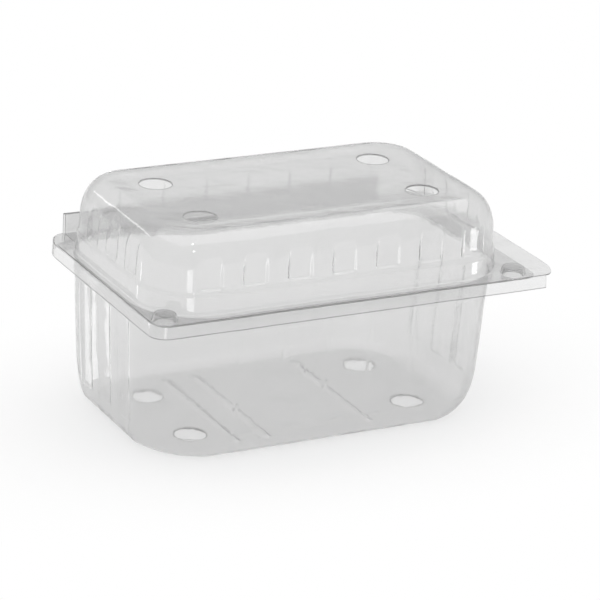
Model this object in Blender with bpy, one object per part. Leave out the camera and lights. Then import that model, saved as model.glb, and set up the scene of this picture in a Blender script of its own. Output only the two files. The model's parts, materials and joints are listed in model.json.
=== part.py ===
"""Clear hinged punnet: a tub-shaped tray and a domed lid, thermoformed from one sheet and folded shut.

Metres, +Z up. The origin is on the table, under the middle of the tray.
The hinge runs along the back (+Y), and the opening tab sticks out to the right (+X).
Each skin is laid out as a single surface, the outer face of its wall, and thickened inwards.
"""

import math

import bmesh
import bpy
from mathutils import Vector

# Sheet, and the clearances between tray and lid.
SHEET = 0.0004
FACE_GAP = 0.0003
EDGE_GAP = 0.0004
NEST_GAP = 0.00035

# Mouth of the tray, measured where its walls meet the flange.
MOUTH_LENGTH = 0.1646
MOUTH_WIDTH = 0.1054
TRAY_DEPTH = 0.0645
TRAY_CORNER = 0.0290
TRAY_DRAFT = 0.050
TRAY_FOOT = 0.0084
CORNER_FOOT_RISE = 0.0220
TRAY_LIP = 0.0006
TRAY_SHIFT = Vector((-0.0012, 0))

# Dome of the lid. It stands a little inside the mouth of the tray.
DOME_END_STEP = 0.0002
DOME_SIDE_STEP = 0.0020
DOME_DRAFT = 0.050
DOME_RISE = 0.0325
SHOULDER_ACROSS = 0.0128
SHOULDER_DROP = 0.0162
PANEL_SINK = 0.0033
PANEL_STEP = 0.0014
BAND_RISE = 0.0075
BAND_STEP = 0.0008
DOME_LIP = 0.0007

# Flutes pressed into the walls.
FLUTE_PITCH = 0.0202
END_FLUTE_PITCH = 0.0185
FLUTE_FLOOR = 0.0080
FLUTE_RAMP = 0.0009
FLUTE_DEPTH = 0.0011
FLUTE_ON_CORNER = 0.30
FLUTE_END = 0.0012
TRAY_FLUTE_FOOT = 0.0110
TRAY_FLUTE_HEAD = 0.0570
CORNER_STEPS = 5

# Flanges, measured outwards from the mouth of the tray.
FLANGE_END = 0.0032
FLANGE_SIDE = 0.0029
BACK_LEFT_CORNER = 0.0080
BACK_LEFT_DEPTH = 0.0150
TAB_REACH = 0.0191
TAB_CORNER = 0.0070
TAB_CORNER_DEPTH = 0.0140
TAB_NECK = 0.0077
TRAY_FLANGE_END = 0.0086
TRAY_RIGHT_CORNER = 0.0050
RELIEF_CORNER = 0.0025
SKIRT_DROP = 0.0058
SKIRT_FLARE = 0.0007
FOLD_RADIUS = 0.0005
ARC_STEPS = 5

# Snap studs on the tray, and the sockets that they press into. The left one fills the flange's corner.
STUD_RISE = 0.0050
SOCKET_RADIUS = 0.0057
SOCKET_TAPER = 0.0011
STUD_EDGE = 0.0005
STUD_BORDER = 0.0011
STUD_NUDGE = 0.0006
STUD_DOME_GAP = 0.00045
RIGHT_STUD_INSET = 0.0005
STUD_SIDES = 16

# Vents through the lid's panel and the tray's floor.
VENT_RADIUS = 0.0068
VENT_END_MARGIN = 0.0164
VENT_SIDE_MARGIN = 0.0166
VENT_LIP = 0.0010
VENT_SIDES = 24

# Stiffening beads across the floor, placed by their distance from the vents of their own end.
LEFT_BEADS = (0.0165, 0.0305)
RIGHT_BEADS = (0.0245,)
BEAD_WIDTH = 0.0040
BEAD_RISE = 0.0010
BEAD_END_MARGIN = 0.0050
BEAD_STEPS = 4

# Hinge at the back. Both leaves stand up from the flanges and meet at the fold along their tops.
HINGE_RISE = 0.0083
HINGE_BACK = 0.0019
HINGE_END_MARGIN = 0.0015
LEAF_BEND = 0.0010
GUTTER_DROP = 0.0045
GUTTER_WIDTH = 0.0024
FOLD_GAP = 0.0007
FOLD_DROP = 0.00025
CORNER_GAP = 0.0010

SHARP_ANGLE = math.radians(35)
FRONT, RIGHT, BACK, LEFT = Vector((0, -1)), Vector((1, 0)), Vector((0, 1)), Vector((-1, 0))

TRAY_FLANGE_TOP = TRAY_DEPTH + SHEET
LID_FLANGE_TOP = TRAY_FLANGE_TOP + FACE_GAP + SHEET
CREST = LID_FLANGE_TOP + DOME_RISE
PANEL_TOP = CREST - PANEL_SINK

LID_LEFT = MOUTH_LENGTH / 2 + FLANGE_END
LID_RIGHT = MOUTH_LENGTH / 2 + TAB_REACH
LID_SIDE = MOUTH_WIDTH / 2 + FLANGE_SIDE
NECK = LID_RIGHT - TAB_NECK
EDGE_INSET = SHEET + EDGE_GAP
FRONT_LEFT_CORNER = SOCKET_RADIUS + STUD_BORDER
HINGE_HALF = LID_LEFT - BACK_LEFT_CORNER - HINGE_END_MARGIN
HINGE_Z = LID_FLANGE_TOP + HINGE_RISE
HINGE_Y = LID_SIDE + HINGE_BACK
HINGE = Vector((0, HINGE_Y, HINGE_Z))
LEAF_TOP = HINGE_Z - FOLD_DROP


def swing_reach(skirt_y):
    """How far forward, at the height of the tray's flange, the skirt at skirt_y swings as the lid opens."""
    behind = HINGE_Y - skirt_y
    below = HINGE_Z - (LID_FLANGE_TOP - SKIRT_DROP)
    height = HINGE_Z - TRAY_FLANGE_TOP
    return HINGE_Y - math.sqrt(behind**2 + below**2 - height**2)


def stud_places():
    """Middles of the snap studs, in the front corners of the flange."""
    inset = FRONT_LEFT_CORNER - STUD_NUDGE
    right = MOUTH_LENGTH / 2 - RIGHT_STUD_INSET
    front = inset - LID_SIDE
    return Vector((inset - LID_LEFT, front)), Vector((right, front))


def dome_corner():
    """Radius of the dome's corners at the flange, which just clear the left stud.

    The corner's arc and the stud's circle are reach apart, and the arc's middle lies one radius
    inside both walls, so the radius solves a quadratic.
    """
    stud = stud_places()[0]
    beside = -stud.x - (MOUTH_LENGTH / 2 - DOME_END_STEP)
    behind = -stud.y - (MOUTH_WIDTH / 2 - DOME_SIDE_STEP)
    reach = SOCKET_RADIUS + DOME_LIP + STUD_DOME_GAP
    half = reach - beside - behind
    return half + math.sqrt(half**2 + reach**2 - beside**2 - behind**2)


def vent_place():
    """Middle of the back right vent. The other three mirror it."""
    across = MOUTH_LENGTH / 2 - DOME_END_STEP - SHOULDER_ACROSS - PANEL_STEP - VENT_END_MARGIN
    deep = MOUTH_WIDTH / 2 - DOME_SIDE_STEP - SHOULDER_ACROSS - VENT_SIDE_MARGIN
    return Vector((across, deep))


def wall_line(core, ends_pitch, sides_pitch, corner):
    """Stations once round a wall, anticlockwise.

    Each is (core point, outward direction, flute share, corner share). core holds the half length
    and half width between the middles of the corner arcs. A ring of the wall is each core point
    moved outwards by the ring's radius.
    """
    stations = []
    sides = (
        (FRONT, RIGHT, core.y, core.x, sides_pitch),
        (RIGHT, BACK, core.x, core.y, ends_pitch),
        (BACK, LEFT, core.y, core.x, sides_pitch),
        (LEFT, FRONT, core.x, core.y, ends_pitch),
    )
    bends = [flute_bends(half, pitch, corner) for _, _, _, half, pitch in sides]
    for index, (out, along, away, half, _) in enumerate(sides):
        for place, share in bends[index]:
            straight = max(-half, min(half, place))
            turn = (place - straight) / corner
            direction = out * math.cos(turn) + along * math.sin(turn)
            stations.append((out * away + along * straight, direction, share, 0.0))
        following = bends[(index + 1) % 4]
        next_half = sides[(index + 1) % 4][3]
        start = max(0.0, (bends[index][-1][0] - half) / corner)
        stop = math.pi / 2 - max(0.0, (-following[0][0] - next_half) / corner)
        steps = range(0 if start == 0 else 1, CORNER_STEPS + (1 if stop == math.pi / 2 else 0))
        for step in steps:
            turn = start + (stop - start) * step / CORNER_STEPS
            direction = out * math.cos(turn) + along * math.sin(turn)
            stations.append((out * away + along * half, direction, 0.0, math.sin(2 * turn)))
    return stations


def flute_bends(half, pitch, corner):
    """Where the flutes of one side bend, as (place from its middle, share of the depth)."""
    reach = half + FLUTE_ON_CORNER * corner * math.pi / 2
    inner = FLUTE_FLOOR / 2
    outer = inner + FLUTE_RAMP
    count = int((reach - outer) / pitch)
    bends = []
    for index in range(-count, count + 1):
        middle = index * pitch
        for place, share in ((-outer, 0.0), (-inner, 1.0), (inner, 1.0), (outer, 0.0)):
            bends.append((middle + place, share))
    return bends


def add_ring(bm, stations, middle, height, radius, flute, tuck):
    """Vertices of the wall at one height, set in by the flutes and by the tuck of the corners."""
    ring = []
    for core, direction, share, corner_share in stations:
        place = middle + core + direction * (radius - share * flute - corner_share * tuck)
        ring.append(bm.verts.new((place.x, place.y, height)))
    return ring


def bridge(bm, first, second, closed=True):
    """Faces between two rows of as many vertices."""
    count = len(first)
    for index in range(count if closed else count - 1):
        after = (index + 1) % count
        bm.faces.new((first[index], first[after], second[after], second[index]))


def add_rings(bm, stations, middle, levels):
    """A wall through levels of (height, radius, flute depth, corner tuck). Returns its end rings."""
    rings = [add_ring(bm, stations, middle, *level) for level in levels]
    for below, above in zip(rings, rings[1:]):
        bridge(bm, below, above)
    return rings[0], rings[-1]


def around(middle, radius, turn):
    """The point of a circle at an angle."""
    return middle.x + radius * math.cos(turn), middle.y + radius * math.sin(turn)


def add_round(bm, middle, height, radius, sides):
    """A circle of vertices."""
    turns = [2 * math.pi * index / sides for index in range(sides)]
    return [bm.verts.new((*around(middle, radius, turn), height)) for turn in turns]


def add_bead(bm, place, height, half_width, half_length):
    """A closed outline with round ends, for a bead that runs along Y."""
    ring = []
    for end in (1, -1):
        middle = Vector((place, end * (half_length - half_width)))
        start = 0.0 if end > 0 else math.pi
        for step in range(BEAD_STEPS + 1):
            turn = start + math.pi * step / BEAD_STEPS
            ring.append(bm.verts.new((*around(middle, half_width, turn), height)))
    return ring


def ring_edges(bm, ring):
    """The edges round a closed row of vertices, made where they don't exist yet."""
    edges = []
    for first, second in zip(ring, ring[1:] + ring[:1]):
        edges.append(bm.edges.get((first, second)) or bm.edges.new((first, second)))
    return edges


def fill_flat(bm, rings):
    """Fills the flat area between an outer ring and the holes inside it."""
    edges = [edge for ring in rings for edge in ring_edges(bm, ring)]
    bmesh.ops.triangle_fill(bm, use_beauty=True, use_dissolve=False, edges=edges)


def add_vents(bm, height, lip):
    """Four round holes with a short turned lip. Returns their rings in the flat."""
    rings = []
    place = vent_place()
    for side, end in ((-1, -1), (-1, 1), (1, -1), (1, 1)):
        middle = Vector((side * place.x, end * place.y))
        ring = add_round(bm, middle, height, VENT_RADIUS, VENT_SIDES)
        bridge(bm, ring, add_round(bm, middle, height + lip, VENT_RADIUS, VENT_SIDES))
        rings.append(ring)
    return rings


def add_studs(bm, height, radius):
    """Hollow snap studs, as truncated cones. Returns their rings in the flat."""
    rings = []
    top = radius - SOCKET_TAPER
    for middle in stud_places():
        ring = add_round(bm, middle, height, radius, STUD_SIDES)
        neck = add_round(bm, middle, height + STUD_RISE - STUD_EDGE, top + STUD_EDGE * 0.6, STUD_SIDES)
        cap = add_round(bm, middle, height + STUD_RISE, top - STUD_EDGE * 0.4, STUD_SIDES)
        bridge(bm, ring, neck)
        bridge(bm, neck, cap)
        bm.faces.new(cap)
        rings.append(ring)
    return rings


def corner_arc(middle, radius, start, depth=None):
    """Quarter of an outline's corner, as (point, outward direction), from start on, anticlockwise.

    depth is the radius along Y, where the corner is a quarter of an ellipse.
    """
    depth = depth or radius
    arc = []
    for step in range(ARC_STEPS + 1):
        turn = start + math.pi / 2 * step / ARC_STEPS
        across, along = math.cos(turn), math.sin(turn)
        direction = Vector((across / radius, along / depth)).normalized()
        arc.append((middle + Vector((across * radius, along * depth)), direction))
    return arc


def add_row(bm, outline, height):
    """Vertices along an outline of (point, direction) pairs."""
    return [bm.verts.new((point.x, point.y, height)) for point, _ in outline]


def sweep(bm, row, outline, height, path):
    """Faces from a row of vertices along path, whose steps are (outwards, up)."""
    for out, up in path:
        following = [
            bm.verts.new((point.x + direction.x * out, point.y + direction.y * out, height + up))
            for point, direction in outline
        ]
        bridge(bm, row, following, closed=False)
        row = following


def finish(bm, name, material, origin, upward):
    """Makes a skin into an object whose outer side is its normals' side, thickened inwards."""
    bmesh.ops.recalc_face_normals(bm, faces=bm.faces)
    flat = max(bm.faces, key=lambda face: face.calc_area() * abs(face.normal.z))
    if (flat.normal.z > 0) != upward:
        bmesh.ops.reverse_faces(bm, faces=bm.faces)
    bmesh.ops.translate(bm, vec=-origin, verts=bm.verts)
    mesh = bpy.data.meshes.new(name)
    bm.to_mesh(mesh)
    bm.free()
    mesh.shade_smooth()
    mesh.set_sharp_from_angle(angle=SHARP_ANGLE)
    mesh.materials.append(material)
    skin = bpy.data.objects.new(name, mesh)
    skin.location = origin
    bpy.context.scene.collection.objects.link(skin)
    wall = skin.modifiers.new("sheet", "SOLIDIFY")
    wall.thickness = SHEET
    wall.offset = -1
    wall.use_even_offset = True
    wall.use_rim = True
    return skin


def clear_plastic(name):
    """Clear, glossy polyester sheet."""
    material = bpy.data.materials.new(name)
    material.use_nodes = True
    surface = material.node_tree.nodes["Principled BSDF"]
    surface.inputs["Base Color"].default_value = (0.93, 0.94, 0.94, 1)
    surface.inputs["Roughness"].default_value = 0.04
    surface.inputs["IOR"].default_value = 1.57
    surface.inputs["Metallic"].default_value = 0.0
    surface.inputs["Transmission Weight"].default_value = 1.0
    return material


def foot_inset(height, rise):
    """How far the quarter ellipse between the floor and the wall lies inside the wall's line."""
    left = max(0.0, 1 - height / rise)
    return TRAY_FOOT * (1 - math.sqrt(1 - left**2))


def tray_levels():
    """Levels of the tray's outer face, from the floor up to the flange."""
    heights = [TRAY_FOOT * (1 - math.cos(math.pi / 2 * step / 4)) for step in range(5)]
    heights += [TRAY_FLUTE_FOOT - FLUTE_END, TRAY_FLUTE_FOOT]
    heights += [TRAY_FLUTE_FOOT + (CORNER_FOOT_RISE - TRAY_FLUTE_FOOT) * share for share in (0.4, 1.0)]
    heights += [TRAY_FLUTE_HEAD, TRAY_FLUTE_HEAD + FLUTE_END, TRAY_DEPTH - TRAY_LIP]
    levels = []
    for height in heights:
        line = TRAY_CORNER - TRAY_DRAFT * (TRAY_DEPTH - height)
        inset = foot_inset(height, TRAY_FOOT)
        flute = FLUTE_DEPTH if TRAY_FLUTE_FOOT <= height <= TRAY_FLUTE_HEAD else 0.0
        levels.append((height, line - inset, flute, foot_inset(height, CORNER_FOOT_RISE) - inset))
    levels.append((TRAY_DEPTH - TRAY_LIP * 0.3, TRAY_CORNER + TRAY_LIP * 0.3, 0.0, 0.0))
    levels.append((TRAY_DEPTH, TRAY_CORNER + TRAY_LIP, 0.0, 0.0))
    return levels


def dome_levels(corner):
    """Levels of the lid's outer face, from the flange up to the panel, for corners of this radius."""
    shoulder = CREST - SHOULDER_DROP
    ledge = LID_FLANGE_TOP + BAND_RISE

    def wall(height):
        return corner - DOME_DRAFT * (height - LID_FLANGE_TOP)

    profile = [
        (LID_FLANGE_TOP, corner + DOME_LIP, 0.0),
        (LID_FLANGE_TOP + DOME_LIP * 0.3, corner + DOME_LIP * 0.3, 0.0),
        (LID_FLANGE_TOP + DOME_LIP, wall(LID_FLANGE_TOP + DOME_LIP), 0.0),
        (ledge, wall(ledge), 0.0),
        (ledge + BAND_STEP, wall(ledge + BAND_STEP) - BAND_STEP, 0.0),
        (ledge + BAND_STEP + FLUTE_END, wall(ledge + BAND_STEP + FLUTE_END) - BAND_STEP, FLUTE_DEPTH),
        (shoulder, wall(shoulder) - BAND_STEP, FLUTE_DEPTH),
    ]
    flute_head = math.acos(1 - FLUTE_DEPTH / SHOULDER_ACROSS)
    for turn in [flute_head * 0.6, flute_head] + [math.radians(angle) for angle in (40, 55, 72, 90)]:
        inset = SHOULDER_ACROSS * (1 - math.cos(turn))
        height = shoulder + SHOULDER_DROP * math.sin(turn)
        profile.append((height, wall(shoulder) - BAND_STEP - inset, max(0.0, FLUTE_DEPTH - inset)))
    crest = profile[-1][1]
    profile.append((CREST - PANEL_SINK * 0.15, crest - PANEL_STEP * 0.35, 0.0))
    profile.append((PANEL_TOP + PANEL_SINK * 0.15, crest - PANEL_STEP * 0.75, 0.0))
    profile.append((PANEL_TOP, crest - PANEL_STEP, 0.0))
    return [(height, radius, flute, 0.0) for height, radius, flute in profile]


def lid_edges():
    """The lid's flange outline in four runs: hinge leaf, long skirt, tab and short skirt."""
    left = -LID_LEFT
    front, back = -LID_SIDE, LID_SIDE
    leaf_end = HINGE_HALF
    skirt_end = HINGE_HALF + CORNER_GAP
    leaf = [(Vector((leaf_end * (1 - step / 4), back)), BACK) for step in range(9)]
    skirt = [(Vector((-skirt_end, back)), BACK)]
    back_middle = Vector((left + BACK_LEFT_CORNER, back - BACK_LEFT_DEPTH))
    skirt += corner_arc(back_middle, BACK_LEFT_CORNER, math.pi / 2, BACK_LEFT_DEPTH)
    front_middle = Vector((left + FRONT_LEFT_CORNER, front + FRONT_LEFT_CORNER))
    skirt += corner_arc(front_middle, FRONT_LEFT_CORNER, math.pi)
    skirt.append((Vector((NECK, front)), FRONT))
    round_off = Vector((LID_RIGHT - TAB_CORNER, front + TAB_CORNER_DEPTH))
    tab = corner_arc(round_off, TAB_CORNER, -math.pi / 2, TAB_CORNER_DEPTH)
    tab += corner_arc(Vector((round_off.x, -round_off.y)), TAB_CORNER, 0.0, TAB_CORNER_DEPTH)
    back_skirt = [(Vector((NECK, back)), BACK), (Vector((skirt_end, back)), BACK)]
    return leaf, skirt, tab, back_skirt


def tray_edges():
    """The tray's flange outline in two runs: along the hinge and the rest.

    It lies inside the lid's skirt, and is cut away where the back of the skirt swings down past it.
    """
    left = -(LID_LEFT - EDGE_INSET)
    right = MOUTH_LENGTH / 2 + TRAY_FLANGE_END
    front, back = -(LID_SIDE - EDGE_INSET), LID_SIDE - EDGE_INSET
    strip = [(Vector((HINGE_HALF * (1 - step / 4), back)), BACK) for step in range(9)]
    relief = swing_reach(LID_SIDE) - FACE_GAP
    left_relief = swing_reach(LID_SIDE - BACK_LEFT_DEPTH / 3) - FACE_GAP
    fillet = RELIEF_CORNER
    neck = HINGE_HALF + FACE_GAP
    rest = [(Vector((-neck, back - FACE_GAP)), BACK), (Vector((-neck, relief)), BACK)]
    rest += corner_arc(Vector((left + fillet, left_relief - fillet)), fillet, math.pi / 2)
    front_left = FRONT_LEFT_CORNER - EDGE_INSET
    rest += corner_arc(Vector((left + front_left, front + front_left)), front_left, math.pi)
    corner = TRAY_RIGHT_CORNER
    rest += corner_arc(Vector((right - corner, front + corner)), corner, -math.pi / 2)
    rest += corner_arc(Vector((right - fillet, relief - fillet)), fillet, 0.0)
    rest += [(Vector((neck, relief)), BACK), (Vector((neck, back - FACE_GAP)), BACK)]
    return strip, rest


def build_tray():
    """The tub with its flange, studs, floor vents and beads, and the outer leaf of the hinge."""
    bm = bmesh.new()
    core = Vector((MOUTH_LENGTH / 2 - TRAY_CORNER, MOUTH_WIDTH / 2 - TRAY_CORNER))
    stations = wall_line(core, END_FLUTE_PITCH, FLUTE_PITCH, TRAY_CORNER)
    levels = tray_levels()
    foot, rim = add_rings(bm, stations, TRAY_SHIFT, levels)

    holes = add_vents(bm, 0.0, VENT_LIP)
    half_length = core.y + levels[0][1] - BEAD_END_MARGIN
    vent = vent_place().x
    for place in [inset - vent for inset in LEFT_BEADS] + [vent - inset for inset in RIGHT_BEADS]:
        base = add_bead(bm, place, 0.0, BEAD_WIDTH / 2, half_length)
        top = add_bead(bm, place, BEAD_RISE, BEAD_WIDTH / 2 - BEAD_RISE * 0.8, half_length - BEAD_RISE)
        bridge(bm, base, top)
        bm.faces.new(top)
        holes.append(base)
    fill_flat(bm, [foot] + holes)

    strip, rest = tray_edges()
    row = add_row(bm, strip, TRAY_DEPTH)
    outline = row + add_row(bm, rest, TRAY_DEPTH)
    studs = add_studs(bm, TRAY_DEPTH, SOCKET_RADIUS - 2 * SHEET - NEST_GAP)
    fill_flat(bm, [outline, rim] + studs)

    start = LID_SIDE - EDGE_INSET
    outer = HINGE_Y + FOLD_GAP / 2 + LEAF_BEND - start
    inner = outer - GUTTER_WIDTH
    top = LEAF_TOP - TRAY_DEPTH
    bend = LEAF_BEND * 0.5
    path = [
        (inner - bend, 0.0),
        (inner - bend * 0.3, -bend * 0.3),
        (inner, -bend),
        (inner, bend - GUTTER_DROP),
        (inner + bend, -GUTTER_DROP),
        (outer - bend, -GUTTER_DROP),
        (outer, bend - GUTTER_DROP),
        (outer, top - LEAF_BEND),
        (outer - LEAF_BEND * 0.3, top - LEAF_BEND * 0.3),
        (outer - LEAF_BEND, top),
    ]
    sweep(bm, row, strip, TRAY_DEPTH, path)
    return finish(bm, "tray", clear_plastic("clear_tray"), Vector((0, 0, 0)), upward=False)


def build_lid():
    """The dome with its panel, flange, skirt, tab and sockets, and the inner leaf of the hinge."""
    bm = bmesh.new()
    corner = dome_corner()
    half_length = MOUTH_LENGTH / 2 - DOME_END_STEP
    half_width = MOUTH_WIDTH / 2 - DOME_SIDE_STEP
    core = Vector((half_length - corner, half_width - corner))
    stations = wall_line(core, END_FLUTE_PITCH, FLUTE_PITCH, corner)
    root, panel = add_rings(bm, stations, Vector((0, 0)), dome_levels(corner))
    fill_flat(bm, [panel] + add_vents(bm, PANEL_TOP, -VENT_LIP))

    leaf, skirt, tab, back_skirt = lid_edges()
    rows = [add_row(bm, run, LID_FLANGE_TOP) for run in (leaf, skirt, tab, back_skirt)]
    outline = [vertex for row in rows for vertex in row]
    sockets = add_studs(bm, LID_FLANGE_TOP, SOCKET_RADIUS)
    fill_flat(bm, [outline, root] + sockets)

    fold = FOLD_RADIUS
    down = [(fold * 0.7, -fold * 0.3), (fold, -fold), (SKIRT_FLARE, -SKIRT_DROP)]
    sweep(bm, rows[1], skirt, LID_FLANGE_TOP, down)
    sweep(bm, rows[3], back_skirt, LID_FLANGE_TOP, down)
    bend = LEAF_BEND
    reach = HINGE_BACK - FOLD_GAP / 2
    rise = LEAF_TOP - LID_FLANGE_TOP
    up = [
        (bend * 0.3, bend * 0.1),
        (bend * 0.6, bend * 0.5),
        (bend * 0.7, bend * 1.2),
        (bend * 0.8, rise - bend * 0.8),
        (bend * 1.1, rise - bend * 0.2),
        (reach, rise),
    ]
    sweep(bm, rows[0], leaf, LID_FLANGE_TOP, up)
    return finish(bm, "lid", clear_plastic("clear_lid"), HINGE, upward=True)


def main():
    for old in list(bpy.data.objects):
        bpy.data.objects.remove(old)
    build_tray()
    build_lid()


main()
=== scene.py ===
"""The looks of a clear hinged punnet: its lid, its tray and the fold between them, on a pale studio floor.

Each shell is drawn from a flat plate, ring by ring, the way a sheet is drawn into a mould. It then
gets its flutes, vents, studs, flange and edges, and last the thickness of the sheet and its ripple.
"""

import json
import math

import bmesh
import bpy
from mathutils import Euler, Matrix, Vector


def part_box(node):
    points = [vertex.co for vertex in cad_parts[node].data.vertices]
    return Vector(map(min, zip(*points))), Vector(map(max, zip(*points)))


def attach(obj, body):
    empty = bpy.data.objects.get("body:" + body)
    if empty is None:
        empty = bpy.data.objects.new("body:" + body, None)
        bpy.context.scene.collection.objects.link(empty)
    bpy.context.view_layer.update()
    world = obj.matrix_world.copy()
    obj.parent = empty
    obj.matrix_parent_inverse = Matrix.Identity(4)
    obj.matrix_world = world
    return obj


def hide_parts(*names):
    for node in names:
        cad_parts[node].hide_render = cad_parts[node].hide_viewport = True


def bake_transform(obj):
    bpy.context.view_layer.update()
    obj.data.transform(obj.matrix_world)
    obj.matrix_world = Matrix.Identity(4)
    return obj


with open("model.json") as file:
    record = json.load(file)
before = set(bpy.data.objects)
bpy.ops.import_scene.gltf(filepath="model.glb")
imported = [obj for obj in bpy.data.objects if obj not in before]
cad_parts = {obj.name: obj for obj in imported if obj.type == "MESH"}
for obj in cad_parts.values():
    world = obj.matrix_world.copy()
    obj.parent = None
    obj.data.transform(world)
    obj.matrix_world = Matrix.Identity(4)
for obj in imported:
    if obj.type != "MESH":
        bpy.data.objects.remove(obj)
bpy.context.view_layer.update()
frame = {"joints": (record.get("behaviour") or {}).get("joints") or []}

bl_info = {
    "name": "Clear Hinged Punnet",
    "version": (1, 0, 0),
    "blender": (4, 5, 0),
    "location": "View3D > Sidebar > Punnet",
    "description": "Forms a clear hinged punnet from sheet and sets it on a studio floor",
    "category": "Object",
}

LID_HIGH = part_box("lid")[1]
TRAY_LOW, TRAY_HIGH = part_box("tray")
HINGE = Vector(frame["joints"][0]["pos_m"])

# How round stretches are divided.
CORNER_SEGMENTS = 24
ROUND_SEGMENTS = 10
VENT_SEGMENTS = 36
STUD_SEGMENTS = 28
SHOULDER_STEPS = 12
DISH_STEPS = 16
FOOT_STEPS = 9
QUARTER_TURN = tuple(math.radians(angle) for angle in (0, 30, 60, 90))

# How near two places lie to count as one, and how far cuts stay from the end of a straight wall.
ON_PLACE = 1e-5
FLAT_MARGIN = 0.0004

# Small sizes, in metres.
VENT_LIP = 0.0006           # depth of the rounded lip of a vent
VENT_WINDOW = 0.0017        # flat border that is cut out and filled again round a vent
LID_UNDER_BOX = 0.0008      # how far the crest stays below the top of the CAD box
LID_FILLET = 0.0007         # round between the lid's flange and its wall
LID_IN_LENGTH = 0.0002      # how far the foot of the dome lies inside the tray's mouth, lengthwise
LID_IN_WIDTH = 0.0020       # the same crosswise
BAND_RING = 0.0040          # height of the ring that divides the plain band over the flange
LEDGE_RISE = 0.0016         # height of the ledge over the plain band
LEDGE_STEP = 0.0008         # how far the wall steps in at the ledge
LID_FLUTE_HALF = 0.0051     # half the width of a flute on the lid's long walls
LID_FLUTE_RUN = 0.0010      # half the width of a flank of the lid's flutes
LID_FLUTE_SHIFT = 0.0011    # how far the middle flute lies to the right of the middle
TRAY_FLUTE_RUN = 0.0016     # half the width of a flank of the tray's flutes
TRAY_LIP = 0.0006           # round between the tray's flange and its wall
TRAY_SHIFT = -0.0012        # place along X of the middle of the tray's walls and beads
FLANGE_SIDE = 0.0029        # width of the lid's flange beyond the mouth, front and back
FLANGE_LEFT = 0.0032        # width of the lid's flange beyond the mouth, on the left
STUD_RADIUS = 0.0057        # outer radius of the lid's sockets at their foot
STUD_TAPER = 0.0011         # how much narrower a stud is at its top
STUD_RISE = 0.0030          # height of the studs and sockets
STUD_INSET = 0.0062         # distance of a stud's middle from the front and left edges of the lid's flange
STUD_RIGHT = 0.0005         # how far the right stud's middle lies inside the end of the mouth
STUD_CLEARANCE = 0.00035    # a stud's radius is smaller than its socket's by two sheets and this much
FOLD = 0.0005               # radius of the fold between flange and skirt
EDGE_BAND = 0.00045         # height of the band along the cut edge of the skirt where painted shade draws a dark line
LEAF_END = 0.0760           # half the length of the hinge leaves
LEAF_GAP = 0.00035          # distance of the end of each hinge leaf from the hinge line
STRIP_IN = 0.0005           # how much shorter the fold's strip is than the leaves, at each end
STRIP_THICKNESS = 0.0002    # thickness of the fold's strip
STRIP_UNDER = 0.0001        # how far the top of the strip lies below the top of the tray's leaf
FLOOR_GAP = 0.0003          # how far the floor lies below the punnet

# The sheet: index of refraction, share of the light that goes through and isn't scattered, share of its
# colour that is left where its painted shade is darkest, and how much painted shade a slanted view gives.
SHEET_INDEX = 1.57
SHEET_CLEARNESS = 0.92
PAINTED_SHADE_DARKEST = 0.25
SLANT_SHADE_POWER = 4
SLANT_SHADE_SHARE = 0.5

# The floor: distances from the middle where its white starts to grow and where it is full, the share of
# white in the middle, how much shorter distances count along X, and the strength of the room's even light.
WHITE_START = 0.03
WHITE_FULL = 0.13
WHITE_LEAST = 0.56
WHITE_STRETCH = 0.6
ROOM_LIGHT = 0.7

# Lamps: name, azimuth from the front towards the left and rise over their aim in degrees, distance from it
# in metres, size and power.
LAMP_AIM = (0, 0, 0.05)
LAMPS = (
    ("sky", 180, 82, 1.5, (2.5, 2.5), 13.0),
    ("key", 17, 38, 1.1, (0.07, 0.07), 0.20),
    ("spark", 17, 62, 1.1, (0.07, 0.07), 0.18),
    ("window", 150, 20, 1.4, (0.26, 0.05), 0.10),
    ("strip_front", 31, -7, 0.27, (0.055, 0.085), 0.026),
    ("strip_right", -50, -7, 0.29, (0.05, 0.035), 0.019),
)

# Thin lamps just over the floor that face up: name, place, turn of the long side in degrees, size, power.
GLOW_HEIGHT = 0.002
GLOWS = (
    ("glow_left", (-0.116, 0.096), 22.6, (0.010, 0.12), 0.004),
    ("glow_corner", (-0.205, 0.149), 30, (0.012, 0.12), 0.012),
)


def length(name, description, default):
    """A size that a user may set, in metres."""
    return bpy.props.FloatProperty(name=name, description=description, default=default, unit="LENGTH")


class PunnetSheet(bpy.types.PropertyGroup):
    """The sheet that both shells are formed from."""

    thickness: length("Thickness", "Thickness of the sheet", 0.0004)
    ripple: length("Ripple", "How far the sheet waves in and out of its true form", 0.00028)
    ripple_size: length("Ripple size", "Distance between two waves of the sheet", 0.022)


class PunnetWalls(bpy.types.PropertyGroup):
    """Sizes that the lid and the tray share."""

    mouth_length: length("Mouth length", "Length of the tray's mouth at the flange", 0.1646)
    mouth_width: length("Mouth width", "Width of the tray's mouth at the flange", 0.1054)
    draft: bpy.props.FloatProperty(
        name="Draft", description="Lean of the walls, across over up", default=0.05
    )
    flute_half: length("Flute half width", "Half the width of a flute at half its depth", 0.00445)
    side_pitch: length("Side pitch", "Distance between flutes on the long walls", 0.0202)
    end_pitch: length("End pitch", "Distance between flutes on the short walls", 0.0185)
    vent_radius: length("Vent radius", "Radius of the round vents", 0.0068)
    vent_across: length("Vent place along", "Distance of the vents from the middle, lengthwise", 0.0515)
    vent_deep: length("Vent place across", "Distance of the vents from the middle, crosswise", 0.0213)


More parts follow.
